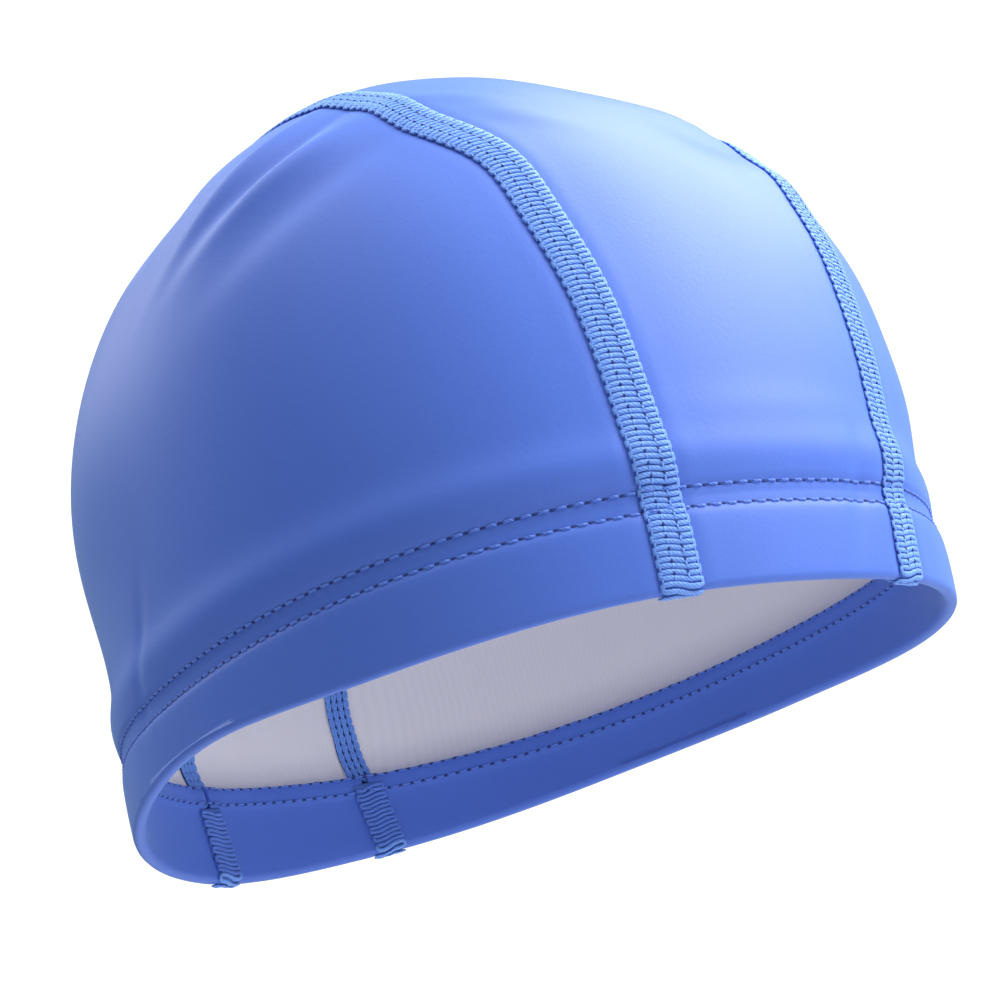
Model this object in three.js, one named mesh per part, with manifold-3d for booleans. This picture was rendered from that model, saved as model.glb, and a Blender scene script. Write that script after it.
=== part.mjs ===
import * as THREE from "three";
import Module from "manifold-3d";

// Swim cap sewn from three panels, in millimetres. +Z points up to the crown and -Y to the front.
// The origin is the middle of the opening, in the plane of the rim.

// Opening and crown
const RIM_LENGTH = 150; // from front to back over the rim
const RIM_WIDTH = 128.4; // from side to side over the rim
const CROWN_HEIGHT = 107; // from the rim to the top of the cloth
const CROWN_LEAN = 11.4; // how far the top of the crown lies ahead of the middle of the opening
const RIM_DIP = 1.5; // how far the front and back of the rim hang below its sides
const RIM_WAVE = 1.9; // height of the rim's soft waves
const FRONT_SPREAD = 0.06; // how much wider the front is than the middle, as a share of the width
const RIM_SQUARENESS = 2.25; // 2 is an ellipse, more is squarer

// Cloth, hem and seams
const CLOTH = 1; // thickness of the coated cloth
const HEM_HEIGHT = 14; // height of the turned-up hem
const STITCH_MARGIN = 1.8; // from the rows of stitches that hold it up to its raw edge
const STITCH_DENT = 0.5; // how far the stitches pull the cloth in
const STITCH_REACH = 2; // how far up and down they pull it
const HEM_GAP = 0.3; // slit between the turned-up leg and the wall
const SEAM_WIDTH = 6; // width of the flatlock seam
const SEAM_RELIEF = 0.6; // how far its threads stand out of the cloth, outside
const SEAM_BACKING = 0.5; // the same, inside
const SEAM_CORE = 0.8; // thickness of the thread between the two edges of cloth
const SEAM_SPREAD = 36; // from the centre line to a seam, at the crown
const CLEARANCE = 0.3; // between cloth and seam

// Fineness of the facets
const TURN_STEPS = 46;
const FOLD_STEPS = 3;
const SEAM_PAST = 0.1; // how far the seams' cuts run on past the rim, as a share of the way over
const SEAM_INNER = 0.8; // where those cuts start to follow the seams, as a share of the half length

// The wall's curve up from the rim at the sides, front and back. bulge is how far it swells out above the
// rim, as a share of the half width there; rise is how high it climbs before it turns in, as a share of the
// height; crown is how wide it stays near the top, as a share of the half width.
const MERIDIANS = {
  side: { bulge: 0.072, rise: 0.465, crown: 1.14 },
  front: { bulge: 0.022, rise: 0.606, crown: 0.687 },
  back: { bulge: 0.152, rise: 0.406, crown: 1.227 },
};

// Soft waves of the rim, at even turns from the right side towards the back: up, as a share of RIM_WAVE.
const RIM_WAVES = [0.59, 1, -0.04, -1.48, -0.41, 0.86, -0.46, 0.09, 0.11, -0.16];
const WAVE_REACH = 0.5; // how far up the wall they fade out, as a share of its height

// Where the seams run. over is the place from the front rim (0) over the crown (0.5) to the back rim (1);
// left and right are the distances from the centre line, as shares of SEAM_SPREAD.
const SEAM_LINE = [
  { over: 0, left: 0.658, right: 0.589 },
  { over: 1 / 12, left: 0.672, right: 0.628 },
  { over: 2 / 12, left: 0.703, right: 0.714 },
  { over: 3 / 12, left: 0.764, right: 0.794 },
  { over: 4 / 12, left: 0.94, right: 0.856 },
  { over: 5 / 12, left: 0.98, right: 0.917 },
  { over: 6 / 12, left: 1, right: 0.944 },
  { over: 7 / 12, left: 0.989, right: 0.925 },
  { over: 8 / 12, left: 0.93, right: 0.833 },
  { over: 9 / 12, left: 0.84, right: 0.653 },
  { over: 10 / 12, left: 0.75, right: 0.461 },
  { over: 11 / 12, left: 0.672, right: 0.425 },
  { over: 1, left: 0.606, right: 0.478 },
];

// Soft folds and dents of the cloth. turn is the angle from the right side towards the back, in degrees, and
// up the place from the rim (0) to the top (1) of the wall. spread is the half length around, in degrees;
// climb is how far up the fold has moved after one spread; thick is its half width up the wall; out is how
// far it stands out, or goes in, as a share of CROWN_HEIGHT.
const FOLDS = [
  { turn: 212, up: 0.55, spread: 13, climb: 0.043, thick: 0.026, out: 0.012 },
  { turn: 210, up: 0.585, spread: 12, climb: 0.06, thick: 0.02, out: -0.008 },
  { turn: 203, up: 0.605, spread: 12, climb: 0.075, thick: 0.026, out: 0.012 },
  { turn: 218, up: 0.5, spread: 14, climb: 0.045, thick: 0.03, out: -0.008 },
  { turn: 288, up: 0.52, spread: 12, climb: 0, thick: 0.06, out: -0.014 },
  { turn: 140, up: 0.195, spread: 34, climb: 0, thick: 0.13, out: -0.031 },
  { turn: 304, up: 0.12, spread: 14, climb: 0, thick: 0.055, out: -0.018 },
  { turn: 279, up: 0.7, spread: 14, climb: -0.02, thick: 0.06, out: -0.02 },
];

// Rows of facets up the wall, as shares of the way from the hem to the top, closer where it is folded.
const CROWN_ROWS = [0.08, 0.19, 0.29, 0.38, 0.445, 0.49, 0.535, 0.58, 0.635, 0.73, 0.86, 1];
const HEM_ROW = 0.6; // the row of facets on the hem, as a share of the way to its stitches

// Materials
const COATED_CLOTH = { color: 0x4f7fd6, roughness: 0.55, metalness: 0 };
const SEAM_THREAD = { color: 0x5f95e0, roughness: 0.45, metalness: 0 };

const HALF_LENGTH = RIM_LENGTH / 2;
const HALF_WIDTH = RIM_WIDTH / 2;
const FOLD_RADIUS = CLOTH + HEM_GAP / 2; // of the rounded rim, to its outside
const STITCH_HEIGHT = HEM_HEIGHT - STITCH_MARGIN;
const FAN_DROP = RIM_DIP + 2 * RIM_WAVE; // how far the seams' axis lies below the opening, clear of the rim
const STEP = 1e-3; // a small step along the wall, which finds its direction
const UP = new THREE.Vector3(0, 0, 1);
const SIDES = ["left", "right"];
const RIM_CURVE = new THREE.CatmullRomCurve3(
  RIM_WAVES.map((share) => new THREE.Vector3(0, 0, share * RIM_WAVE)),
  true,
  "catmullrom",
  0.5,
);

const wasm = await Module();
wasm.setup();

// Distance from the middle to the rim's outline at an angle around Z.
function rimRadius(angle) {
  const across = Math.abs(Math.cos(angle)) / HALF_WIDTH;
  const along = Math.abs(Math.sin(angle)) / HALF_LENGTH;
  return (across ** RIM_SQUARENESS + along ** RIM_SQUARENESS) ** (-1 / RIM_SQUARENESS);
}

// A meridian's value at an angle: the side's, blended into the front's or back's.
function meridian(angle, key) {
  const end = Math.sin(angle) < 0 ? MERIDIANS.front : MERIDIANS.back;
  return THREE.MathUtils.lerp(MERIDIANS.side[key], end[key], Math.sin(angle) ** 2);
}

// A point of the smooth outer face, without its folds. up runs from 0 at the rim to 1 at the top.
function smoothPoint(angle, up) {
  const down = 1 - up;
  const reach =
    down ** 3 +
    3 * down ** 2 * up * (1 + meridian(angle, "bulge")) +
    3 * down * up ** 2 * meridian(angle, "crown");
  const climb = 3 * down ** 2 * up * meridian(angle, "rise") + 3 * down * up ** 2 + up ** 3;
  const radius = rimRadius(angle) * reach;
  const along = (radius * Math.sin(angle)) / HALF_LENGTH;
  const dip = RIM_DIP * along ** 2 * (1 - climb);
  const wave = RIM_CURVE.getPoint(THREE.MathUtils.euclideanModulo(angle / (2 * Math.PI), 1)).z;
  const lift = wave * Math.max(1 - climb / WAVE_REACH, 0) ** 2 - dip;
  return new THREE.Vector3(
    radius * Math.cos(angle) * (1 - FRONT_SPREAD * along),
    radius * Math.sin(angle) - CROWN_LEAN * climb,
    THREE.MathUtils.lerp(FOLD_RADIUS, CROWN_HEIGHT, climb) + lift,
  );
}

// How far the folds and the hem's stitches push the cloth out at a place on the wall.
function relief(angle, up) {
  const turn = THREE.MathUtils.euclideanModulo(THREE.MathUtils.radToDeg(angle), 360);
  let out = 0;
  for (const fold of FOLDS) {
    const around = (turn - fold.turn) / fold.spread;
    const across = (up - fold.up - fold.climb * around) / fold.thick;
    out += fold.out * CROWN_HEIGHT * Math.exp(-(around ** 2) - across ** 2);
  }
  const above = (smoothPoint(angle, up).z - STITCH_HEIGHT) / STITCH_REACH;
  return out - STITCH_DENT * Math.exp(-(above ** 2));
}

// The way out of the cloth at a place on the wall.
function outward(angle, up) {
  const place = Math.min(up, 1 - STEP);
  const around = smoothPoint(angle + STEP, place).sub(smoothPoint(angle - STEP, place));
  const climb = smoothPoint(angle, place + STEP).sub(smoothPoint(angle, Math.max(place - STEP, 0)));
  return around.cross(climb).normalize();
}

// A point of the folded wall, inset from its outer face.
function wallPoint(angle, up, inset) {
  if (up === 1) angle = 0;
  return smoothPoint(angle, up).addScaledVector(outward(angle, up), relief(angle, up) - inset);
}

// The place on the wall that lies at a height, at an angle, found by halving.
function placeAtHeight(angle, height) {
  let low = 0;
  let high = 1;
  while (high - low > STEP / CROWN_HEIGHT) {
    const middle = (low + high) / 2;
    if (smoothPoint(angle, middle).z < height) low = middle;
    else high = middle;
  }
  return (low + high) / 2;
}

// The stations of the wall's section, from the top outside, around the rim and back to the top inside. A
// station has its place on the wall, its inset, and how far it drops below the wall's foot around the fold.
// spareOut and spareIn grow the section, and a grown section has no slit in its hem.
function sectionAt(angle, spareOut, spareIn) {
  const station = (up, inset, drop = 0) => ({ up, inset, drop });
  const folded = 2 * CLOTH + HEM_GAP;
  const stitch = placeAtHeight(angle, STITCH_HEIGHT);
  const hem = placeAtHeight(angle, HEM_HEIGHT + spareIn);
  const above = placeAtHeight(angle, HEM_HEIGHT + STITCH_REACH);
  const crown = CROWN_ROWS.map((share) => THREE.MathUtils.lerp(above, 1, share));
  const lower = HEM_ROW * stitch;
  const outer = [lower, stitch, above, ...crown].map((up) => station(up, -spareOut)).reverse();
  const fold = [];
  for (let i = 0; i <= FOLD_STEPS; i++) {
    const turn = (Math.PI * i) / FOLD_STEPS;
    const middle = (folded + spareIn - spareOut) / 2;
    const radius = (folded + spareIn + spareOut) / 2;
    fold.push(station(0, middle - radius * Math.cos(turn), radius * Math.sin(turn)));
  }
  const leg = [lower, stitch, hem].map((up) => station(up, folded + spareIn));
  const slit = [
    station(hem, CLOTH + HEM_GAP),
    station(stitch, CLOTH + HEM_GAP),
    station(0, CLOTH + HEM_GAP),
    station(0, CLOTH + HEM_GAP / 2, HEM_GAP / 2),
    station(0, CLOTH),
    station(stitch, CLOTH),
  ];
  const inner = [hem, above, ...crown].map((up) => station(up, CLOTH + spareIn));
  return [...outer, ...fold, ...leg, ...(spareIn ? [] : slit), ...inner];
}

// The whole wall as one closed solid, swept around Z.
function wallSolid(spareOut = 0, spareIn = 0) {
  const points = [];
  const faces = [];
  const sections = [];
  for (let turn = 0; turn < TURN_STEPS; turn++) {
    sections.push(sectionAt((2 * Math.PI * turn) / TURN_STEPS, spareOut, spareIn));
  }
  const length = sections[0].length;
  const top = [0, length - 1].map((i) => {
    const { up, inset } = sections[0][i];
    return points.push(wallPoint(0, up, inset)) - 1;
  });
  const index = (turn, i) => {
    if (i === 0) return top[0];
    if (i === length - 1) return top[1];
    return 2 + (turn % TURN_STEPS) * (length - 2) + (i - 1);
  };
  sections.forEach((section, turn) => {
    const angle = (2 * Math.PI * turn) / TURN_STEPS;
    for (const { up, inset, drop } of section.slice(1, -1)) {
      points.push(wallPoint(angle, up, inset).addScaledVector(UP, -drop));
    }
    for (let i = 0; i < length - 1; i++) {
      const [a, b, c, d] = [index(turn, i), index(turn, i + 1), index(turn + 1, i + 1), index(turn + 1, i)];
      if (a !== d) faces.push([a, b, d]);
      if (b !== c) faces.push([b, c, d]);
    }
  });
  return solidFrom(points, faces);
}

// A manifold solid of a list of points and a list of triangles.
function solidFrom(points, faces) {
  return new wasm.Manifold(
    new wasm.Mesh({
      numProp: 3,
      vertProperties: Float32Array.from(points.flatMap((point) => point.toArray())),
      triVerts: Uint32Array.from(faces.flat()),
    }),
  );
}

// A seam's line: its places over the cap, from before the front rim to past the back rim, each with its
// distance from the centre line.
function seamLine(side) {
  const line = SEAM_LINE.map((row) => ({ over: row.over, spread: row[side] * SEAM_SPREAD }));
  const front = { over: -SEAM_PAST, spread: line[0].spread };
  const back = { over: 1 + SEAM_PAST, spread: line.at(-1).spread };
  return [front, ...line, back];
}

// A curved block that follows a seam around the cap, between two distances to the side of its line. It fans
// out around an axis that runs from side to side, just below the rim and halfway to the crown's lean. Both of
// its sides are split along the same diagonals, so that blocks side by side are parallel.
function fan(side, from, to) {
  const sign = side === "left" ? -1 : 1;
  const near = SEAM_INNER * HALF_LENGTH;
  const corners = [[from, near], [from, RIM_LENGTH], [to, RIM_LENGTH], [to, near]];
  const place = (sideways, spoke, reach) => {
    const axis = new THREE.Vector3(sign * sideways, -CROWN_LEAN / 2, -FAN_DROP);
    return axis.addScaledVector(spoke, reach);
  };
  const points = [from, to].map((shift) => place(SEAM_SPREAD + shift, UP, 0));
  const faces = [];
  const line = seamLine(side);
  for (const { over, spread } of line) {
    const spoke = new THREE.Vector3(0, -Math.cos(Math.PI * over), Math.sin(Math.PI * over));
    for (const [shift, reach] of corners) points.push(place(spread + shift, spoke, reach));
  }
  const ring = (station) => corners.map((corner, i) => 2 + 4 * station + i);
  for (let station = 0; station < line.length - 1; station++) {
    const [a, b, c, d] = ring(station);
    const [e, f, g, h] = ring(station + 1);
    faces.push([a, b, e], [b, f, e], [b, c, f], [c, g, f], [c, d, h], [c, h, g], [0, a, e], [1, h, d]);
  }
  const [a, b, c, d] = ring(0);
  faces.push([0, b, a], [0, c, b], [0, d, c], [0, 1, d]);
  const [e, f, g, h] = ring(line.length - 1);
  faces.push([0, e, f], [0, f, g], [0, g, h], [0, h, 1]);
  return solidFrom(points, side === "left" ? faces.map((face) => face.reverse()) : faces);
}

function mesh(name, solid, material) {
  const { vertProperties, triVerts } = solid.getMesh();
  const geometry = new THREE.BufferGeometry();
  geometry.setAttribute("position", new THREE.BufferAttribute(vertProperties, 3));
  geometry.setIndex(new THREE.BufferAttribute(triVerts, 1));
  geometry.computeVertexNormals();
  const made = new THREE.Mesh(geometry, new THREE.MeshStandardMaterial(material));
  made.name = name;
  return made;
}

// The cloth of the whole cap, split along both seams into the three panels.
function panels() {
  const cloth = wallSolid();
  const edge = SEAM_CORE / 2 + CLEARANCE;
  const [left, right] = SIDES.map((side) => fan(side, edge, RIM_WIDTH));
  const [notLeft, notRight] = SIDES.map((side) => fan(side, -edge, RIM_WIDTH));
  return [
    mesh("side_panel_left", cloth.intersect(left), COATED_CLOTH),
    mesh("side_panel_right", cloth.intersect(right), COATED_CLOTH),
    mesh("centre_panel", cloth.subtract(notLeft).subtract(notRight), COATED_CLOTH),
  ];
}

// Both seams: threads on the outside and the inside of the cloth, joined between its edges and over the rim.
function seams() {
  const threads = wallSolid(CLEARANCE + SEAM_RELIEF, CLEARANCE + SEAM_BACKING);
  const room = wallSolid(CLEARANCE, CLEARANCE);
  return SIDES.map((side) => {
    const band = threads.intersect(fan(side, -SEAM_WIDTH / 2, SEAM_WIDTH / 2));
    const taken = room.subtract(fan(side, -SEAM_CORE / 2, SEAM_CORE / 2));
    return mesh(`seam_${side}`, band.subtract(taken), SEAM_THREAD);
  });
}

const cap = new THREE.Group();
cap.add(...panels(), ...seams());

export default cap;
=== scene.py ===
"""Looks of a three-panel swim cap: coated stretch cloth, flatlock seams and a twin-needle hem."""

import math

import bpy
import numpy as np
from mathutils import Matrix, Vector
from mathutils.kdtree import KDTree


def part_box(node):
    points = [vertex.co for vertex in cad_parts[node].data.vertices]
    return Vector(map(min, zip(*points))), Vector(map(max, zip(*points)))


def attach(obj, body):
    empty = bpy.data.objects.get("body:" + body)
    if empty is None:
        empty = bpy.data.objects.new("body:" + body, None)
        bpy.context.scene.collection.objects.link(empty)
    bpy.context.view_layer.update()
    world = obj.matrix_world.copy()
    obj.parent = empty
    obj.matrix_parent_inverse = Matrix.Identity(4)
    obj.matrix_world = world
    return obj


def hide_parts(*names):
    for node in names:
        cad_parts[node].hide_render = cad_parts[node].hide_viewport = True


bl_info = {
    "name": "Swim Cap",
    "version": (1, 0, 0),
    "blender": (4, 5, 0),
    "location": "View3D > Sidebar > Swim Cap",
    "description": "Makes the cloth, seams and stitches of a three-panel swim cap",
    "category": "Add Mesh",
}

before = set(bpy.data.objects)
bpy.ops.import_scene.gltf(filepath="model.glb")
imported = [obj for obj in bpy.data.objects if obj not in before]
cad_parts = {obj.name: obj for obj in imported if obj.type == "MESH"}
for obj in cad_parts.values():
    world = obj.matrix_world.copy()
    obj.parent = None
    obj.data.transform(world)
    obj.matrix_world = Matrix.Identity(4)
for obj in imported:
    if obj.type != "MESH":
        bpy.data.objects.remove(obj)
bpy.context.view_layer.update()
BODY = "root"
SIGN = {"left": -1, "right": 1}

# The wall's curve up from the rim: bulge above the rim, rise before it turns in, and width near the top.
MERIDIANS = {
    "side": {"bulge": 0.072, "rise": 0.465, "crown": 1.14},
    "front": {"bulge": 0.022, "rise": 0.606, "crown": 0.687},
    "back": {"bulge": 0.152, "rise": 0.406, "crown": 1.227},
}

# Soft waves of the rim, at even turns from the right side towards the back, as shares of the rim's wave.
RIM_WAVES = [0.59, 1, -0.04, -1.48, -0.41, 0.86, -0.46, 0.09, 0.11, -0.16]

# Distance of the seams from the centre line, at even steps from the front rim over the crown to the back
# rim, as shares of their widest spread.
SEAM_LINE = {
    "left": [
        0.658, 0.664, 0.672, 0.69, 0.703, 0.722, 0.764, 0.8, 0.94, 0.964, 0.98, 0.994, 1,
        1, 0.989, 0.967, 0.93, 0.889, 0.84, 0.792, 0.75, 0.711, 0.672, 0.628, 0.606,
    ],
    "right": [
        0.589, 0.594, 0.628, 0.664, 0.714, 0.758, 0.794, 0.814, 0.856, 0.889, 0.917, 0.933, 0.944,
        0.944, 0.925, 0.889, 0.833, 0.75, 0.653, 0.556, 0.461, 0.403, 0.425, 0.461, 0.478,
    ],
}

# Folds and dents: turn from the right side towards the back in degrees, up from the rim (0) to the top (1),
# half length around in degrees, climb over that length, half width up the wall, and how far it stands out as
# a share of the crown's height.
FOLDS = [
    (212, 0.55, 13, 0.043, 0.026, 0.012),
    (210, 0.585, 12, 0.06, 0.02, -0.008),
    (203, 0.605, 12, 0.075, 0.026, 0.012),
    (218, 0.5, 14, 0.045, 0.03, -0.008),
    (288, 0.52, 12, 0, 0.06, -0.014),
    (140, 0.195, 34, 0, 0.13, -0.031),
    (304, 0.12, 14, 0, 0.055, -0.018),
    (279, 0.7, 14, -0.02, 0.06, -0.02),
    (302, 0.34, 14, 0, 0.07, 0.006),
    (296, 0.46, 8, 0, 0.05, 0.008),
    (303, 0.6, 7, 0, 0.04, -0.013),
    (174, 0.655, 10, 0, 0.05, -0.012),
    (222, 0.77, 16, 0, 0.05, 0.005),
    (242, 0.6, 9, -0.03, 0.02, 0.004),
    (250, 0.535, 9, -0.03, 0.022, 0.004),
    (268, 0.135, 16, 0, 0.02, 0.004),
    (279.5, 0.07, 2.2, 0.04, 0.03, -0.004),
    (171, 0.13, 4, 0.05, 0.03, -0.004),
]

# One stitch of the flatlock's cover thread: places along the seam in stitches, across it in half widths, and
# height in thread thicknesses.
COVER_LOOP = [
    (0.23, -0.97, 0.7),
    (0.25, -0.8, 1.2),
    (0.25, -0.55, 1.3),
    (0.28, -0.3, 0.9),
    (0.42, 0, 1.3),
    (0.56, 0.3, 0.9),
    (0.6, 0.55, 1.3),
    (0.61, 0.82, 1.2),
    (0.7, 0.98, 0.7),
    (1, 0.98, 0.7),
    (1.09, 0.82, 1.2),
    (1.1, 0.55, 1.3),
    (1.06, 0.3, 0.9),
    (0.92, 0, 1.3),
    (0.78, -0.3, 0.9),
    (0.75, -0.55, 1.3),
    (0.76, -0.8, 1.2),
    (0.85, -0.97, 0.7),
]

# The flatlock's needle rows: places across it in half widths, how high their stitches stand in thread
# thicknesses, their length in stitches, and whether the painted shadows in their holes show.
NEEDLE_ROWS = [
    {"across": -0.93, "height": 1.3, "length": 0.8, "hole": False},
    {"across": -0.33, "height": 1.7, "length": 0.5, "hole": True},
    {"across": 0.33, "height": 1.7, "length": 0.5, "hole": True},
    {"across": 0.93, "height": 1.3, "length": 0.8, "hole": False},
]

# Painted shadows in the needle holes of the flatlock, as dark tubes, in stitches and thread thicknesses.
HOLE_PLACE = 0.42  # from a stitch's start to its needle hole
HOLE_LENGTH = 0.26  # length of a hole's painted shadow
HOLE_RISE = 1.75  # height of a hole's painted shadow over the bed
HOLE_THICK = 0.45  # half thickness of that shadow

# Chains inside a seam, in half widths of the chained strip, stitches and thread sizes.
CHAIN_ROWS = (-0.78, -0.26, 0.26, 0.78)  # places across the strip
CHAIN_BULGE = 0.13  # how far each side of a chain's loop stands off its row
CHAIN_BEND = 0.8  # below 1 makes the loops rounder at their ends
CHAIN_LENGTH = 1.15  # length of a loop, which reaches into the next one
CHAIN_FOOT = 0.4  # height of a loop's ends
CHAIN_RISE = 1.2  # how much higher its middle stands
CHAIN_WIDE = 0.8  # share of the cover thread's width
CHAIN_HIGH = 0.9  # share of the cover thread's height
CHAIN_PLACES = 5  # points along each side of a loop
CHAIN_SIDES = 5  # sides of its thread

# Stitches of the hem, in stitches and thread sizes.
HEM_STITCH_LENGTH = {"outside": 0.7, "inside": 0.8}  # part of a stitch that shows
HEM_STITCH_WIDE = {"outside": 1.2, "inside": 1}  # share of the needle thread's width
HEM_HOLE_LENGTH = 0.42  # length of a needle hole's painted shadow
HEM_HOLE_WIDE = 1.5  # share of the flatlock's hole width
HEM_HOLE_THICK = 0.5  # half thickness of a hole's painted shadow
HEM_HOLE_RISE = 0.1  # height of that shadow's middle
HEM_HOLE_SINK = 0.4  # depth of its ends
OVER_SEAM = 2.2  # how far the hem's stitches rise over a seam, in cover threads
SEAM_SOFTNESS = 0.0002  # metres over which they rise

# Material slots of a seam, with painted shadow for the needle holes and painted shade between the inner
# chains.
BED_SLOT, THREAD_SLOT, LEG_SLOT, HOLE_SHADOW_SLOT, SHADED_CHAIN_BED_SLOT = range(5)

# Soft square lights: direction from the cap in degrees from the front towards the right and up, and power in
# watts.
LIGHTS = [
    {"name": "right", "turn": 34, "rise": 25, "power": 9},
    {"name": "key", "turn": 66, "rise": 48, "power": 10.5},
    {"name": "front", "turn": 0, "rise": 55, "power": 3},
    {"name": "top", "turn": -62, "rise": 62, "power": 3.4},
    {"name": "left", "turn": -105, "rise": 60, "power": 1.6},
    {"name": "back", "turn": -155, "rise": 46, "power": 3.8},
]
LIGHT_AWAY = 0.9  # metres from the cap to each light
LIGHT_SIZE = 0.6  # metres along each side of a light
FLOOR_SIZE = 6  # metres along each side of the floor
BACKDROP = 1.2  # brightness of the white backdrop, as the camera sees it
SENSOR = 36  # width of the camera's sensor in millimetres
NEAREST = 0.01  # metres from the camera to the nearest thing that it sees


def length(name, description, default):
    """A size in metres that the user can change."""
    return bpy.props.FloatProperty(
        name=name, description=description, default=default, unit="LENGTH", precision=5
    )


def share(name, description, default):
    """A plain number that the user can change."""
    return bpy.props.FloatProperty(name=name, description=description, default=default, precision=3)


def count(name, description, default):
    """A whole number that the user can change."""
    return bpy.props.IntProperty(name=name, description=description, default=default, min=1)


def tint(name, description, default):
    """A colour that the user can change."""
    return bpy.props.FloatVectorProperty(
        name=name, description=description, default=default, subtype="COLOR", size=3, min=0, max=1
    )


class SwimCapForm(bpy.types.PropertyGroup):
    """Sizes of the cap's cloth"""

    rim_length: length("Rim length", "From front to back over the rim", 0.15)
    rim_width: length("Rim width", "From side to side over the rim", 0.1284)
    crown_height: length("Crown height", "From the rim to the top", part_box("centre_panel")[1].z)
    crown_lean: length("Crown lean", "How far the crown's top lies ahead of the middle", 0.0114)
    rim_dip: length("Rim dip", "How far the front and back of the rim hang", 0.0015)
    rim_wave: length("Rim wave", "Height of the rim's soft waves", 0.0019)
    wave_reach: share("Wave reach", "How far up the waves fade out, as a share of the height", 0.5)
    front_spread: share("Front spread", "How much wider the front is, as a share of the width", 0.06)
    squareness: share("Rim squareness", "2 is an ellipse, more is squarer", 2.25)
    cloth: length("Cloth", "Thickness of the coated cloth", 0.001)
    hem_height: length("Hem height", "Height of the turned-up hem", 0.014)
    hem_gap: length("Hem gap", "Slit between the turned-up leg and the wall", 0.0003)
    stitch_margin: length("Stitch margin", "From the hem's stitches up to its raw edge", 0.0018)
    stitch_dent: length("Stitch dent", "How far the stitches pull the cloth in", 0.0006)
    stitch_reach: length("Stitch reach", "How far up and down they pull it", 0.002)
    row_dent: length("Row dent", "Depth of the groove under each row of stitches", 0.0002)
    hem_swell: length("Hem swell", "How far the cloth swells above the hem's stitches", 0.0008)
    row_reach: length("Row reach", "Half width of that groove", 0.0005)
    seam_dent: length("Seam dent", "Depth of the groove at the edges of a seam", 0.00015)
    seam_puff: length("Seam puff", "How far the cloth swells beside a seam", 0.0001)
    ragged: length("Ragged edge", "How uneven the hem's raw edge is", 0.00025)
    turn_steps: count("Turn steps", "Faces around the cap", 440)
    crown_steps: count("Crown steps", "Faces up the crown", 130)


class SwimCapStitches(bpy.types.PropertyGroup):
    """Sizes of the seams and stitches"""

    seam_width: length("Seam width", "Width of the flatlock seams", 0.0062)
    seam_spread: length("Seam spread", "From the centre line to a seam, at the crown", 0.036)
    seam_gap: length("Seam gap", "From a seam's line to the cut edge of the cloth", 0.0007)
    seam_pitch: length("Seam pitch", "Length of a stitch of the flatlock", 0.00176)
    cover_wide: length("Cover thread width", "Half width of the flatlock's cover thread", 0.00041)
    cover_high: length("Cover thread height", "Half thickness of the flatlock's cover thread", 0.00022)
    needle_wide: length("Needle thread width", "Half width of the needle threads", 0.00019)
    needle_high: length("Needle thread height", "Half thickness of the needle threads", 0.00017)
    hem_pitch: length("Hem pitch", "Length of a stitch of the hem", 0.0024)
    hem_rows: length("Hem rows", "Distance between the hem's two rows of stitches", 0.003)
    hole_wide: length("Hole width", "Half width of a needle hole", 0.00019)
    chain_share: share("Chain width", "Width of the chains inside a seam, as a share of its width", 0.8)
    bed_height: length("Seam bed", "How far the stitched bed of a seam stands out", 0.00018)


class SwimCapColours(bpy.types.PropertyGroup):
    """Colours of the cap"""

    coating: tint("Coating", "Coated face of the cloth", (0.08, 0.172, 0.66))
    knit: tint("Knit", "Bare knit face of the cloth", (0.78, 0.77, 0.85))
    thread: tint("Seam thread", "Threads of the flatlock seams", (0.14, 0.32, 0.88))
    bed: tint("Seam bed", "Cloth seen between the threads of a seam", (0.08, 0.2, 0.62))
    # Dark tint of the painted shadow in the needle holes.
    hole: tint("Needle holes", "Shadow in the holes of the needles", (0.02, 0.045, 0.22))
    # Dark tint of the bed inside a seam: painted shade between the chains, darker than the cloth there.
    shaded_chain_bed: tint("Inside of a seam", "Cloth seen between the chains inside a seam", (0.03, 0.07, 0.3))
    hem_thread: tint("Hem thread", "Threads of the hem", (0.085, 0.2, 0.72))
    floor: tint("Floor", "Studio floor", (0.62, 0.62, 0.62))


class SwimCapStage(bpy.types.PropertyGroup):
    """Camera, floor and light"""

    camera_turn: share("Camera turn", "Degrees from the front towards the right", -39.32)
    camera_rise: share("Camera rise", "Degrees above level", -17.71)
    camera_roll: share("Camera roll", "Degrees that the camera is tilted", -14.87)
    camera_away: length("Camera distance", "From the point that the camera looks at", 0.4)
    camera_lens: share("Lens", "Focal length in millimetres", 82.19)
    aim: bpy.props.FloatVectorProperty(
        name="Aim",
        description="Point that the camera looks at",
        default=(0.00739, 0, 0.0426),
        subtype="XYZ",
        unit="LENGTH",
    )
    floor_drop: length("Floor drop", "How far below the rim the floor lies", 0.2)
    sky: share("Sky", "Brightness of the soft light from all around", 0.02)


def form():
    return bpy.context.scene.swim_cap_form


def stitches():
    return bpy.context.scene.swim_cap_stitches


def colours():
    return bpy.context.scene.swim_cap_colours


def catmull(values, place, closed=False):
    """A smooth curve through evenly spaced values, at a place from 0 to 1."""
    values = np.asarray(values, float)
    spans = len(values) if closed else len(values) - 1
    at = np.asarray(place, float) * spans
    start = np.floor(at).astype(int)
    if not closed:
        start = np.clip(start, 0, spans - 1)
    t = at - start

    def pick(step):
        index = start + step
        return values[index % spans] if closed else values[np.clip(index, 0, spans)]

    before, low, high, after = pick(-1), pick(0), pick(1), pick(2)
    bend = (2 * t**3 - 3 * t**2 + 1) * low + (3 * t**2 - 2 * t**3) * high
    return bend + (t**3 - 2 * t**2 + t) * (high - before) / 2 + (t**3 - t**2) * (after - low) / 2


def bell(distance):
    """A soft bump, 1 in its middle."""
    return np.exp(-(distance**2))


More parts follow.
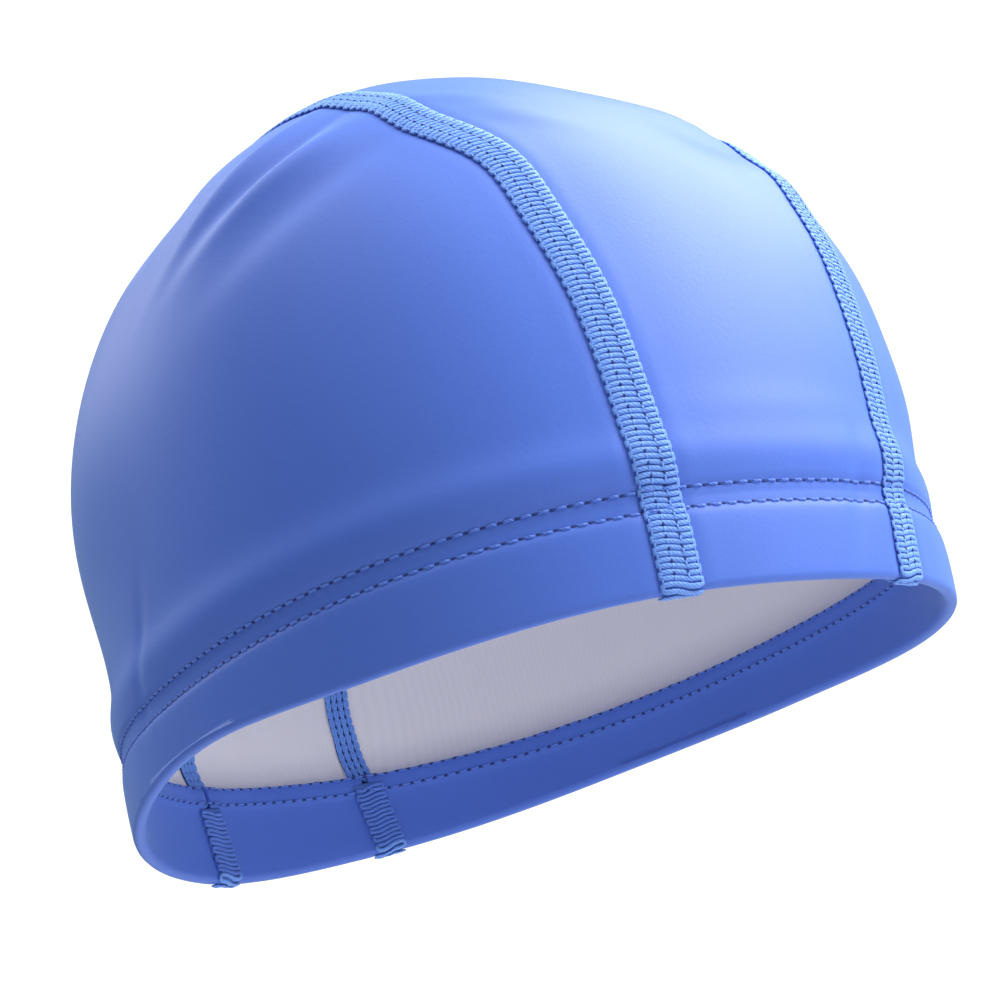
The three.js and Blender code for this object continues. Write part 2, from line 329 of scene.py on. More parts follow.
def meridian(sine, key):
    """A meridian's value: the side's, blended into the front's or back's."""
    side = MERIDIANS["side"][key]
    end = np.where(sine < 0, MERIDIANS["front"][key], MERIDIANS["back"][key])
    return side + (end - side) * sine**2


def fold_radius():
    return form().cloth + form().hem_gap / 2


def smooth_point(angle, up):
    """Points of the coated face, without its folds. up runs from 0 at the rim to 1 at the top."""
    size = form()
    angle, up = np.broadcast_arrays(angle, up)
    sine, cosine = np.sin(angle), np.cos(angle)
    across = np.abs(cosine) / (size.rim_width / 2)
    ahead = np.abs(sine) / (size.rim_length / 2)
    rim = (across**size.squareness + ahead**size.squareness) ** (-1 / size.squareness)
    down = 1 - up
    reach = down**3 + 3 * down**2 * up * (1 + meridian(sine, "bulge"))
    reach = reach + 3 * down * up**2 * meridian(sine, "crown")
    climb = 3 * down**2 * up * meridian(sine, "rise") + 3 * down * up**2 + up**3
    radius = rim * reach
    along = radius * sine / (size.rim_length / 2)
    wave = catmull(RIM_WAVES, (angle / math.tau) % 1, closed=True) * size.rim_wave
    fade = np.clip(1 - climb / size.wave_reach, 0, None) ** 2
    lift = wave * fade - size.rim_dip * along**2 * (1 - climb)
    foot = fold_radius()
    return np.stack(
        [
            radius * cosine * (1 - size.front_spread * along),
            radius * sine - size.crown_lean * climb,
            foot + (size.crown_height - foot) * climb + lift,
        ],
        axis=-1,
    )


STEP = 1e-3  # a small step along the wall, which finds its direction


def outward(angle, up):
    """The way out of the coated face."""
    place = np.minimum(up, 1 - STEP)
    around = smooth_point(angle + STEP, place) - smooth_point(angle - STEP, place)
    climb = smooth_point(angle, place + STEP) - smooth_point(angle, np.maximum(place - STEP, 0))
    way = np.cross(around, climb)
    return way / np.linalg.norm(way, axis=-1, keepdims=True)


def over_the_cap(points):
    """Places on a way from the front rim (0) over the crown (0.5) to the back rim (1)."""
    size = form()
    drop = size.rim_dip + 2 * size.rim_wave
    return np.arctan2(points[..., 2] + drop, -(points[..., 1] + size.crown_lean / 2)) / math.pi


SEAM_PLACES = np.linspace(0, 1, 241)
SEAM_ENDS = 8  # places at each end where the strip is past the rim and takes its neighbour's scale
SEAM_TABLES = {}


def seam_table(side):
    """A seam's distance from the centre line along its way, and how far across goes there for each metre
    sideways on the cloth."""
    if side not in SEAM_TABLES:
        spread = catmull(SEAM_LINE[side], SEAM_PLACES) * stitches().seam_spread
        SEAM_TABLES[side] = spread, np.ones_like(spread)
        inner = SEAM_PLACES[SEAM_ENDS:-SEAM_ENDS]
        angle, up = place_beside_seam(side, inner, np.zeros_like(inner))
        here = smooth_point(angle, up)
        around = smooth_point(angle + STEP, up) - here
        climb = smooth_point(angle, up + STEP) - here
        over_around = over_the_cap(here + around) - over_the_cap(here)
        over_climb = over_the_cap(here + climb) - over_the_cap(here)
        level = around * over_climb[:, None] - climb * over_around[:, None]
        way = np.gradient(here, axis=0)
        way /= np.linalg.norm(way, axis=-1, keepdims=True)
        scale = np.abs(level[:, 0]) / np.linalg.norm(np.cross(level, way), axis=-1)
        SEAM_TABLES[side] = spread, np.pad(scale, SEAM_ENDS, mode="edge")
    return SEAM_TABLES[side]


def beside_seam(points, side):
    """Distances on the cloth from a seam's line, positive on the side panel's side."""
    spread, scale = seam_table(side)
    over = over_the_cap(points)
    away = SIGN[side] * points[..., 0] - np.interp(over, SEAM_PLACES, spread)
    return away / np.interp(over, SEAM_PLACES, scale)


SEARCH_REACH = 0.1  # metres that one whole way over the cap counts for in a search
SEARCH_TURN = 92  # degrees both ways from the side that a search starts from
SEARCH_ROWS = np.linspace(0, 0.97, 120)  # places up the wall that it starts from
SEARCH_ROUNDS = 8  # rounds that close in on a place


def place_beside_seam(side, over, beside):
    """Places on the wall that lie so far over the cap and so far beside a seam."""
    turns = np.radians(np.linspace(-SEARCH_TURN, SEARCH_TURN, 2 * SEARCH_TURN + 1))
    angles = turns if side == "right" else math.pi - turns
    angle, up = np.meshgrid(angles, SEARCH_ROWS)
    point = smooth_point(angle, up)
    grid = np.stack([over_the_cap(point) * SEARCH_REACH, beside_seam(point, side)], axis=-1).reshape(-1, 2)
    tree = KDTree(len(grid))
    for i, (a, b) in enumerate(grid):
        tree.insert((a, b, 0), i)
    tree.balance()
    near = [tree.find((a * SEARCH_REACH, b, 0))[1] for a, b in zip(over.ravel(), beside.ravel())]
    angle = angle.ravel()[near].reshape(over.shape)
    up = up.ravel()[near].reshape(over.shape)

    def miss(angle, up):
        point = smooth_point(angle, up)
        return (over_the_cap(point) - over) * SEARCH_REACH, beside_seam(point, side) - beside

    small = STEP / 10
    for _ in range(SEARCH_ROUNDS):
        a, b = miss(angle, up)
        a1, b1 = miss(angle + small, up)
        a2, b2 = miss(angle, up + small)
        ax, bx, ay, by = a1 - a, b1 - b, a2 - a, b2 - b
        scale = ax * by - ay * bx
        angle = angle - (a * by - ay * b) / scale * small
        up = np.clip(up - (ax * b - a * bx) / scale * small, 0, 1 - 2 * STEP)
    return angle, up


HEM_SWELL_RISE = 0.0065  # from the hem's stitches up to where the cloth above them swells most
HEM_SWELL_REACH = 0.0035  # half height of that swell
SEAM_GROOVE = 0.0006  # half width of the groove at a seam's edge
SEAM_PUFF_AWAY = 0.0017  # from a seam's edge to where the cloth swells most
SEAM_PUFF_REACH = 0.002  # half width of that swell


def relief(angle, up, point):
    """How far folds, stitches and seams push the cloth out."""
    size, sewing = form(), stitches()
    turn = np.degrees(angle) % 360
    out = np.zeros(np.broadcast(angle, up).shape)
    for fold_turn, fold_up, spread, climb, thick, fold_out in FOLDS:
        around = (turn - fold_turn) / spread
        across = (up - fold_up - climb * around) / thick
        out += fold_out * size.crown_height * np.exp(-(around**2) - across**2)
    above = point[..., 2] - (size.hem_height - size.stitch_margin)
    out -= size.stitch_dent * bell(above / size.stitch_reach)
    out += size.hem_swell * bell((above - HEM_SWELL_RISE) / HEM_SWELL_REACH)
    for row in (-0.5, 0.5):
        out -= size.row_dent * bell((above - row * sewing.hem_rows) / size.row_reach)
    half = sewing.seam_width / 2
    for side in SIGN:
        beside = np.abs(beside_seam(point, side))
        out -= size.seam_dent * bell((beside - half) / SEAM_GROOVE)
        out += size.seam_puff * bell((beside - half - SEAM_PUFF_AWAY) / SEAM_PUFF_REACH)
    return out


def cloth_point(angle, up, turn=0.0, depth=0.0):
    """Places in the cloth: turn goes from 0 on the wall around the rim's fold to pi on the turned-up leg, and
    depth goes from 0 on the coated face into the cloth."""
    radius = fold_radius()
    point = smooth_point(angle, up)
    inset = radius - (radius - depth) * np.cos(turn)
    shift = relief(angle, up, point) - inset
    point = point + outward(angle, up) * shift[..., None]
    point[..., 2] -= (radius - depth) * np.sin(turn)
    return point


ABOVE_HEM = 0.6  # a place up the wall that lies above the whole hem
HALVINGS = 24  # rounds that find a height


def place_at_height(angle, height):
    """The place up the wall that lies at a height, found by halving."""
    angle, height = np.broadcast_arrays(np.asarray(angle, float), height)
    low, high = np.zeros(angle.shape), np.full(angle.shape, ABOVE_HEM)
    for _ in range(HALVINGS):
        middle = (low + high) / 2
        short = smooth_point(angle, middle)[..., 2] < height
        low, high = np.where(short, middle, low), np.where(short, high, middle)
    return (low + high) / 2


class Shape:
    """Gathers vertices, faces, materials and a map of one mesh."""

    def __init__(self):
        self.points, self.faces, self.slots, self.maps, self.size = [], [], [], [], 0

    def add(self, points, faces, slot=0, flat=None):
        points = np.asarray(points, float).reshape(-1, 3)
        flat = np.zeros((len(points), 2)) if flat is None else np.asarray(flat, float).reshape(-1, 2)
        self.points.append(points)
        self.maps.append(flat)
        self.faces += [[i + self.size for i in face] for face in faces]
        self.slots += [slot] * len(faces)
        self.size += len(points)

    def make(self, name, materials):
        mesh = bpy.data.meshes.new(name)
        mesh.from_pydata(np.concatenate(self.points), [], self.faces, shade_flat=False)
        mesh.polygons.foreach_set("material_index", self.slots)
        corner = np.empty(len(mesh.loops), int)
        mesh.loops.foreach_get("vertex_index", corner)
        flat = mesh.uv_layers.new(name="cloth")
        flat.data.foreach_set("uv", np.concatenate(self.maps)[corner].ravel())
        for material in materials:
            mesh.materials.append(material)
        mesh.validate()
        made = bpy.data.objects.new(name, mesh)
        bpy.context.scene.collection.objects.link(made)
        return made


def tubes(shape, points, normals, wide, high, sides=6, slot=0):
    """Adds threads along rows of points: an array of threads, places along them and coordinates."""
    threads, places = points.shape[:2]
    along = np.gradient(points, axis=1)
    side = np.cross(along, normals)
    side /= np.linalg.norm(side, axis=-1, keepdims=True)
    top = np.cross(side, along)
    top /= np.linalg.norm(top, axis=-1, keepdims=True)
    turn = np.arange(sides) * math.tau / sides
    ring = side[:, :, None] * (wide * np.cos(turn))[:, None]
    ring = ring + top[:, :, None] * (high * np.sin(turn))[:, None]
    ring = points[:, :, None] + ring
    steps = np.linalg.norm(np.diff(points, axis=1), axis=-1)
    run = np.concatenate([np.zeros((threads, 1)), np.cumsum(steps, axis=1)], axis=1)
    flat = np.stack(np.broadcast_arrays(run[:, :, None], turn * wide), axis=-1)
    index = np.arange(threads * places * sides).reshape(threads, places, sides)
    after = np.roll(index, -1, axis=2)
    quads = np.stack([index[:, :-1], after[:, :-1], after[:, 1:], index[:, 1:]], axis=-1).reshape(-1, 4)
    ends = np.concatenate([index[:, 0, ::-1], index[:, -1]])
    shape.add(ring, quads.tolist() + ends.tolist(), slot, flat)


def clip(places, faces, distance):
    """Keeps the part of a mesh where distance is above 0, with a clean edge along the line where it is 0."""
    places, distance, made = list(places), list(distance), {}

    def crossing(a, b):
        key = (min(a, b), max(a, b))
        if key not in made:
            part = distance[key[0]] / (distance[key[0]] - distance[key[1]])
            made[key] = len(places)
            places.append(places[key[0]] * (1 - part) + places[key[1]] * part)
        return made[key]

    kept = []
    for face in faces:
        inside = [distance[i] > 0 for i in face]
        if all(inside):
            kept.append(list(face))
        elif any(inside):
            cut = []
            for k, i in enumerate(face):
                j = (k + 1) % len(face)
                if inside[k]:
                    cut.append(i)
                if inside[k] != inside[j]:
                    cut.append(crossing(i, face[j]))
            kept.append(cut)
    used = sorted({i for face in kept for i in face})
    renumber = {old: new for new, old in enumerate(used)}
    return np.array([places[i] for i in used]), [[renumber[i] for i in face] for face in kept]


ZONE_REACH = 1.6  # how far the fine rows around the hem's stitches reach, in the stitches' own reaches
LOW_ROWS = 9  # rows of faces from the rim up to those fine rows, on the wall
FINE_ROWS = 16  # fine rows on the wall
FOLD_ROWS = 9  # rows of points around the rim's fold
LEG_LOW_ROWS = 7  # rows of faces on the turned-up leg, below its fine rows
LEG_FINE_ROWS = 10  # fine rows on the leg, up to its raw edge
RAGGED_WAVES = (137, 61)  # waves around the raw edge, whose product makes it uneven


def spread_rows(low, high, rows):
    """Evenly spaced heights above the lowest one."""
    return np.linspace(low, high, rows + 1)[1:]


def cloth_grid():
    """The whole cap's cloth as places (angle, up, turn) in a grid from the top down the wall, around the
    rim's fold and up the turned-up leg, and its faces."""
    size = form()
    angle = -math.pi / 2 + np.arange(size.turn_steps + 1) * math.tau / size.turn_steps
    stitch = size.hem_height - size.stitch_margin
    zone = size.stitch_reach * ZONE_REACH
    low, high = stitch - zone, stitch + zone
    heights = [*spread_rows(0, low, LOW_ROWS), *spread_rows(low, high, FINE_ROWS)]
    wall = np.array([place_at_height(angle, height) for height in heights])
    crown = np.linspace(0, 1, size.crown_steps + 1)[1:, None]
    rows = [*(wall[-1] + (1 - wall[-1]) * crown)[::-1], *wall[::-1]]
    ups = np.array([*rows, *[np.zeros_like(angle)] * FOLD_ROWS])
    turns = np.array([0] * len(rows) + list(np.linspace(0, math.pi, FOLD_ROWS)))
    leg = [*spread_rows(0, low, LEG_LOW_ROWS), *spread_rows(low, size.hem_height, LEG_FINE_ROWS)]
    first, second = RAGGED_WAVES
    leg[-1] = leg[-1] + size.ragged * np.sin(angle * first) * np.sin(angle * second + 1)
    legs = np.array([place_at_height(angle, height) for height in leg])
    ups = np.concatenate([ups, legs])
    turns = np.concatenate([turns, np.full(len(legs), math.pi)])
    places = np.stack(np.broadcast_arrays(angle[None], ups, turns[:, None]), axis=-1)
    index = np.arange(places[..., 0].size).reshape(places.shape[:2])
    index[:, -1] = index[:, 0]
    index[0] = index[0, 0]
    faces = []
    for row in range(len(ups) - 1):
        for column in range(size.turn_steps):
            a, b = index[row, column], index[row + 1, column]
            c, d = index[row + 1, column + 1], index[row, column + 1]
            faces.append([a, b, c] if row == 0 else [a, b, c, d])
    return places.reshape(-1, 3), faces


def panel(name, places, faces, flat_way):
    """One panel of cloth: the coated face, the knit face and the cut edges between them."""
    shape = Shape()
    angle, up, turn = places.T
    points = cloth_point(angle, up, turn)
    inner = cloth_point(angle, up, turn, form().cloth)
    flat = flat_way(smooth_point(angle, up))
    edges = {}
    for face in faces:
        for k, i in enumerate(face):
            j = face[(k + 1) % len(face)]
            edges.pop((j, i)) if (j, i) in edges else edges.__setitem__((i, j), True)
    total = len(points)
    shape.add(points, faces, 0, flat)
    shape.add(inner, [face[::-1] for face in faces], 1, flat)
    shape.size = 0
    shape.add(np.zeros((0, 3)), [[j, i, i + total, j + total] for i, j in edges], 0)
    return shape.make(name, [coating_material(), knit_material()])


def flat_centre(points):
    """The centre panel's pattern: across, and the way over the cap."""
    way = over_the_cap(points) * math.pi * form().crown_height
    return np.stack([points[..., 0], way], axis=-1)


def flat_side(points):
    """A side panel's pattern: front to back, and up."""
    return points[..., 1:]


class Ribbon:
    """The strip of cloth under a seam, as places (angle, up) along and across it."""

    ACROSS = 13
    ALONG = 420
    REACH = 0.7  # half width of the strip, in widths of the seam
    RIM_PLACES = 400

    def __init__(self, side):
        self.side = side
        half = stitches().seam_width * self.REACH
        self.across = np.linspace(-half, half, self.ACROSS)
        way = np.linspace(0, 1, self.ALONG)[:, None]
        first, last = self.rim(-1), self.rim(1)
        over = first + (last - first) * way
        spread = np.zeros_like(over) + self.across
        self.angle, self.up = place_beside_seam(side, over, spread)
        centre = smooth_point(self.angle[:, self.ACROSS // 2], self.up[:, self.ACROSS // 2])
        steps = np.linalg.norm(np.diff(centre, axis=0), axis=-1)
        self.run = np.concatenate([[0], np.cumsum(steps)])
        self.length = self.run[-1]
        self.fold = math.pi * fold_radius()

    def rim(self, end):
        """How far over the cap the rim lies, at the front (-1) or the back (1), across the strip."""
        turns = np.radians(np.linspace(0, 90, self.RIM_PLACES)) * end
        angle = turns if self.side == "right" else math.pi - turns
        rim = smooth_point(angle, 0.0)
        beside = beside_seam(rim, self.side)
        order = np.argsort(beside)
        return np.interp(self.across, beside[order], over_the_cap(rim)[order])

    def places(self, along, across):
        """Angle and up at distances along and across the strip."""
        row = np.interp(along, self.run, np.arange(self.ALONG))
        column = (across - self.across[0]) / (self.across[1] - self.across[0])
        i = np.clip(np.floor(row).astype(int), 0, self.ALONG - 2)
        j = np.clip(np.floor(column).astype(int), 0, self.ACROSS - 2)
        s, t = row - i, np.clip(column - j, 0, 1)

        def blend(grid):
            low = grid[i, j] * (1 - t) + grid[i, j + 1] * t
            high = grid[i + 1, j] * (1 - t) + grid[i + 1, j + 1] * t
            return low * (1 - s) + high * s

        return blend(self.angle), blend(self.up)

    def outside(self, along, across, height):
        """Points above the coated face, along the wall from the front rim (0) to the back rim. Before and
        past those they go around the fold and up the leg."""
        before, past = np.clip(-along, 0, None), np.clip(along - self.length, 0, None)
        beyond = before + past
        turn = np.clip(beyond / self.fold, 0, 1) * math.pi
        leg = np.clip(beyond - self.fold, 0, None)
        on_wall = np.where(past > 0, self.length - leg, np.where(before > 0, leg, along))
        angle, up = self.places(on_wall, across)
        return cloth_point(angle, up, turn, -height)

    def inside(self, along, across, height):
        """Points above the knit face of the wall."""
        angle, up = self.places(along, across)
        return cloth_point(angle, up, 0.0, form().cloth + height)


SMALL_LIFT = 1e-5  # a small height above the cloth, which finds the way out of it


def lay(way, along, across, height):
    """Points on a face of the cloth, and the way out of it there."""
    along, across, height = np.broadcast_arrays(along, across, height)
    point = way(along, across, height)
    away = way(along, across, height + SMALL_LIFT) - point
    return point, away / np.linalg.norm(away, axis=-1, keepdims=True)


def stitch_arcs(way, starts, pitch, across, height, sink, share_of_pitch, places=5):
    """A row of stitches that rise out of the cloth and dip back into it."""
    t = np.linspace(-1, 1, places)
    along = np.asarray(starts)[:, None] + pitch / 2 + t * pitch / 2 * share_of_pitch
    lift = sink + (height - sink) * (1 - t**4)
    return lay(way, along, np.broadcast_to(across, along.shape), lift)


BED_STEP = 0.0008  # length of a seam bed's faces
BED_COLUMNS = 11  # points across a seam bed
BED_DEPTH = 0.0003  # how deep a seam bed sits in the cloth


def seam_bed(shape, way, start, end, half, slot):
    """The stitched bed of a seam, as a thin closed strip that sits in the cloth."""
    along = np.linspace(start, end, int((end - start) / BED_STEP))[:, None]
    across = np.linspace(-1, 1, BED_COLUMNS)
    top = stitches().bed_height * (1 - across**6)
    points, _ = lay(way, along, across * half, top)
    under, _ = lay(way, along, across * half, -BED_DEPTH)
    rows, columns = points.shape[:2]
    flat = np.stack(np.broadcast_arrays(along, across * half), axis=-1)
    index = np.arange(rows * columns).reshape(rows, columns)
    corners = [index[:-1, :-1], index[:-1, 1:], index[1:, 1:], index[1:, :-1]]
    quads = np.stack(corners, axis=-1).reshape(-1, 4)
    rim = [*index[0, :], *index[1:, -1], *index[-1, -2::-1], *index[-2:0:-1, 0]]
    total = index.size
    faces = quads.tolist() + (quads[:, ::-1] + total).tolist()
    faces += [[b, a, a + total, b + total] for a, b in zip(rim, rim[1:] + rim[:1])]
    shape.add(np.stack([points, under]), faces, slot, np.stack([flat, flat]))


def flatlock_outside(shape, ribbon):
    """Cover thread and needle rows of a seam's outer face, around the rim and up to the hem's raw edge."""
    sewing, size = stitches(), form()
    half, thick = sewing.seam_width / 2, sewing.cover_high
    tail = ribbon.fold + size.hem_height - size.stitch_margin
    number = int((ribbon.length + 2 * tail) / sewing.seam_pitch)
    pitch = (ribbon.length + 2 * tail) / number
    starts = -tail + np.arange(number) * pitch
    loop = np.array(COVER_LOOP)
    line = np.concatenate([loop + (k, 0, 0) for k in range(number)])
    along = line[:, 0] * pitch - tail
    height = line[:, 2] * thick + sewing.bed_height
    points, normals = lay(ribbon.outside, along, line[:, 1] * half, height)
    turned = np.abs(along - ribbon.length / 2) > ribbon.length / 2 + ribbon.fold
    first, last = int(np.argmin(turned)), len(turned) - int(np.argmin(turned[::-1]))
    for start, end, slot in ((0, first, LEG_SLOT), (first, last, THREAD_SLOT), (last, len(turned), LEG_SLOT)):
        piece = slice(start, min(end + 1, len(turned)))
        tubes(shape, points[None, piece], normals[None, piece], sewing.cover_wide, thick, slot=slot)
    on_wall = starts[(starts > 0) & (starts < ribbon.length - pitch)]
    for row in NEEDLE_ROWS:
        across = row["across"] * half
        top = row["height"] * thick + sewing.bed_height
        points, normals = stitch_arcs(ribbon.outside, on_wall, pitch, across, top, 0, row["length"])
        tubes(shape, points, normals, sewing.needle_wide, sewing.needle_high, slot=THREAD_SLOT)
        if row["hole"]:
            # Dark tubes over the needle holes: painted shadow in the holes.
            holes = on_wall + pitch * HOLE_PLACE
            top = sewing.bed_height + thick * HOLE_RISE
            points, normals = stitch_arcs(ribbon.outside, holes, pitch, across, top, top, HOLE_LENGTH, 3)
            tubes(shape, points, normals, sewing.hole_wide, thick * HOLE_THICK, slot=HOLE_SHADOW_SLOT)


def flatlock_inside(shape, ribbon):
    """Chains of looper thread on a seam's inner face, above the hem."""
    sewing, first = stitches(), form().hem_height
    half = sewing.seam_width / 2 * sewing.chain_share
    number = int((ribbon.length - 2 * first) / sewing.seam_pitch)
    pitch = (ribbon.length - 2 * first) / number
    t = np.linspace(0, 1, CHAIN_PLACES)
    arc = np.sin(t * math.pi)
    starts = first + np.arange(number)[:, None] * pitch
    along = starts + t * pitch * CHAIN_LENGTH
    height = sewing.bed_height + sewing.cover_high * (CHAIN_FOOT + CHAIN_RISE * arc)
    wide, high = sewing.cover_wide * CHAIN_WIDE, sewing.cover_high * CHAIN_HIGH
    for row in CHAIN_ROWS:
        for hand in (-1, 1):
            across = row * half + hand * arc**CHAIN_BEND * half * CHAIN_BULGE
            points, normals = lay(ribbon.inside, along, np.broadcast_to(across, along.shape), height)
            tubes(shape, points, normals, wide, high, CHAIN_SIDES, THREAD_SLOT)


def rim_way(middle, turn):
    """A way of laying points along the hem: along is a share of the whole turn, across a height."""

    def way(along, across, height):
        angle = along * math.tau
        up = place_at_height(angle, middle + across)
        point = smooth_point(angle, up)
        on_seam = sum(soft_step(-np.abs(beside_seam(point, side))) for side in SIGN)
        return cloth_point(angle, up, turn, -height - on_seam * stitches().cover_high * OVER_SEAM)

    return way


def soft_step(beside):
    """1 on a seam, 0 beside it, with a soft edge."""
    half = stitches().seam_width / 2
    return 1 / (1 + np.exp(-(beside + half) / SEAM_SOFTNESS))


def node(tree, kind, place=(0, 0), **settings):
    """A new shader node with its settings."""
    made = tree.nodes.new(kind)
    made.location = place
    for key, value in settings.items():
        setattr(made, key, value)
    return made


def start_material(name):
    """A new material with its shader, or the one of that name and nothing."""
    known = bpy.data.materials.get(name)
    if known:
        return known, None, None
    material = bpy.data.materials.new(name)
    material.use_nodes = True
    tree = material.node_tree
    return material, tree, tree.nodes["Principled BSDF"]


def set_values(made, values):
    """Sets a node's inputs by name."""
    for name, value in values.items():
        made.inputs[name].default_value = value


def blend_colour(tree, shader, factor, colour, low, high):
    """Colours a shader between two shares of a colour."""
    shade = node(tree, "ShaderNodeMix", (-400, 200), data_type="RGBA", blend_type="MIX")
    base = Vector(colour)
    set_values(shade, {"A": (*(base * low), 1), "B": (*(base * high), 1)})
    tree.links.new(factor, shade.inputs["Factor"])
    tree.links.new(shade.outputs["Result"], shader.inputs["Base Color"])


def add_bumps(tree, shader, height, strength, distance):
    """Gives a shader small bumps of a height in metres."""
    bump = node(tree, "ShaderNodeBump", (-300, -200))
    set_values(bump, {"Strength": strength, "Distance": distance})
    tree.links.new(height, bump.inputs["Height"])
    tree.links.new(bump.outputs["Normal"], shader.inputs["Normal"])


def bands(tree, direction, values):
    """Fine bands along the cloth or thread, from its map."""
    flat = node(tree, "ShaderNodeUVMap", (-900, 0), uv_map="cloth")
    made = node(tree, "ShaderNodeTexWave", (-700, 0), wave_type="BANDS", bands_direction=direction)
    set_values(made, values)
    tree.links.new(flat.outputs["UV"], made.inputs["Vector"])
    return made.outputs["Fac"]


def coating_material():
    """Smooth matt coating on stretch knit."""
    material, tree, shader = start_material("cap_coating")
    if not tree:
        return material
    place = node(tree, "ShaderNodeTexCoord", (-900, 0))
    blotch = node(tree, "ShaderNodeTexNoise", (-700, 200))
    set_values(blotch, {"Scale": 18, "Detail": 3})
    grain = node(tree, "ShaderNodeTexNoise", (-700, -200))
    set_values(grain, {"Scale": 1500, "Detail": 2})
    for noise in (blotch, grain):
        tree.links.new(place.outputs["Object"], noise.inputs["Vector"])
    blend_colour(tree, shader, blotch.outputs["Fac"], colours().coating, 0.93, 1.07)
    add_bumps(tree, shader, grain.outputs["Fac"], 0.12, 0.0002)
    set_values(shader, {
        "Roughness": 0.5,
        "Specular IOR Level": 0.25,
        "Sheen Weight": 0.22,
        "Sheen Roughness": 0.4,
        "Sheen Tint": (0.6, 0.85, 1, 1),
    })
    return material


def knit_material():
    """Bare knit back of the cloth, with fine wales."""
    material, tree, shader = start_material("cap_knit")
    if not tree:
        return material
    wales = bands(tree, "X", {"Scale": 350, "Distortion": 1.5, "Detail": 1})
    blend_colour(tree, shader, wales, colours().knit, 0.98, 1.01)
    add_bumps(tree, shader, wales, 0.06, 0.0002)
    set_values(shader, {"Roughness": 0.85, "Sheen Weight": 0.2})
    return material


def thread_material(name, colour):
    """Twisted polyester thread: its plies run slanting along it."""
    material, tree, shader = start_material(name)
    if not tree:
        return material
    plies = bands(tree, "DIAGONAL", {"Scale": 900, "Distortion": 1})
    blend_colour(tree, shader, plies, colour, 0.8, 1.15)
    add_bumps(tree, shader, plies, 0.4, 0.0001)
    set_values(shader, {"Roughness": 0.6, "Sheen Weight": 0.1})
    return material


def plain_material(name, colour, roughness):
    """A plain finish for the studio floor, the bed of a seam, the painted shade between a seam's inner chains
    or the painted shadow in a needle hole.
    """
    material, tree, shader = start_material(name)
    if not tree:
        return material
    noise = node(tree, "ShaderNodeTexNoise", (-600, 0))
    set_values(noise, {"Scale": 900})
    blend_colour(tree, shader, noise.outputs["Fac"], colour, 0.95, 1)
    set_values(shader, {"Roughness": roughness})
    return material


def flat_area(faces, points):
    """Area of a list of faces."""
    area = 0.0
    for face in faces:
        first = points[face[0]]
        for b, c in zip(face[1:], face[2:]):
            area += np.linalg.norm(np.cross(points[b] - first, points[c] - first)) / 2
    return float(area)


class SWIM_CAP_OT_panels(bpy.types.Operator):
    """Make the three panels of coated cloth with their turned-up hem"""

    bl_idname = "swim_cap.panels"
    bl_label = "Make Panels"

    def execute(self, context):
        places, faces = cloth_grid()
        gap = stitches().seam_gap
        points = smooth_point(places[:, 0], places[:, 1])
        beside = {side: beside_seam(points, side) for side in SIGN}
        cuts = {f"side_panel_{side}": clip(places, faces, beside[side] - gap) for side in SIGN}
        half, half_faces = clip(places, faces, -beside["left"] - gap)
        beside_half = beside_seam(smooth_point(half[:, 0], half[:, 1]), "right")
        cuts["centre_panel"] = clip(half, half_faces, -beside_half - gap)
        for name, (cut, cut_faces) in cuts.items():
            way = flat_centre if name == "centre_panel" else flat_side
            made = panel(f"{name}_cloth", cut, cut_faces, way)
            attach(made, BODY)
            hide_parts(name)
            area = flat_area(cut_faces, cloth_point(*cut.T))
        return {"FINISHED"}


class SWIM_CAP_OT_seams(bpy.types.Operator):
    """Make both flatlock seams with their threads"""

    bl_idname = "swim_cap.seams"
    bl_label = "Make Seams"

    def execute(self, context):
        size, sewing = form(), stitches()
        finishes = [
            plain_material("seam_bed", colours().bed, 0.8),
            thread_material("cap_seam_thread", colours().thread),
            thread_material("cap_hem_thread", colours().hem_thread),
            # Painted shadow in the needle holes.
            plain_material("painted_hole_shadow", colours().hole, 0.9),
            # Painted shade between the chains inside the seam.
            plain_material("shaded_chain_bed", colours().shaded_chain_bed, 0.9),
        ]
        half, rim = sewing.seam_width / 2, size.hem_height
        for side in SIGN:
            ribbon = Ribbon(side)
            tail = ribbon.fold + rim - size.stitch_margin / 2
            shape = Shape()
            seam_bed(shape, ribbon.outside, -tail, ribbon.length + tail, half, BED_SLOT)
            # The bed inside the seam takes a dark finish, painted shade between the chains.
            strip = half * sewing.chain_share
            seam_bed(shape, ribbon.inside, rim, ribbon.length - rim, strip, SHADED_CHAIN_BED_SLOT)
            flatlock_outside(shape, ribbon)
            flatlock_inside(shape, ribbon)
            made = shape.make(f"seam_{side}_threads", finishes)
            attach(made, BODY)
            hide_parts(f"seam_{side}")
        return {"FINISHED"}


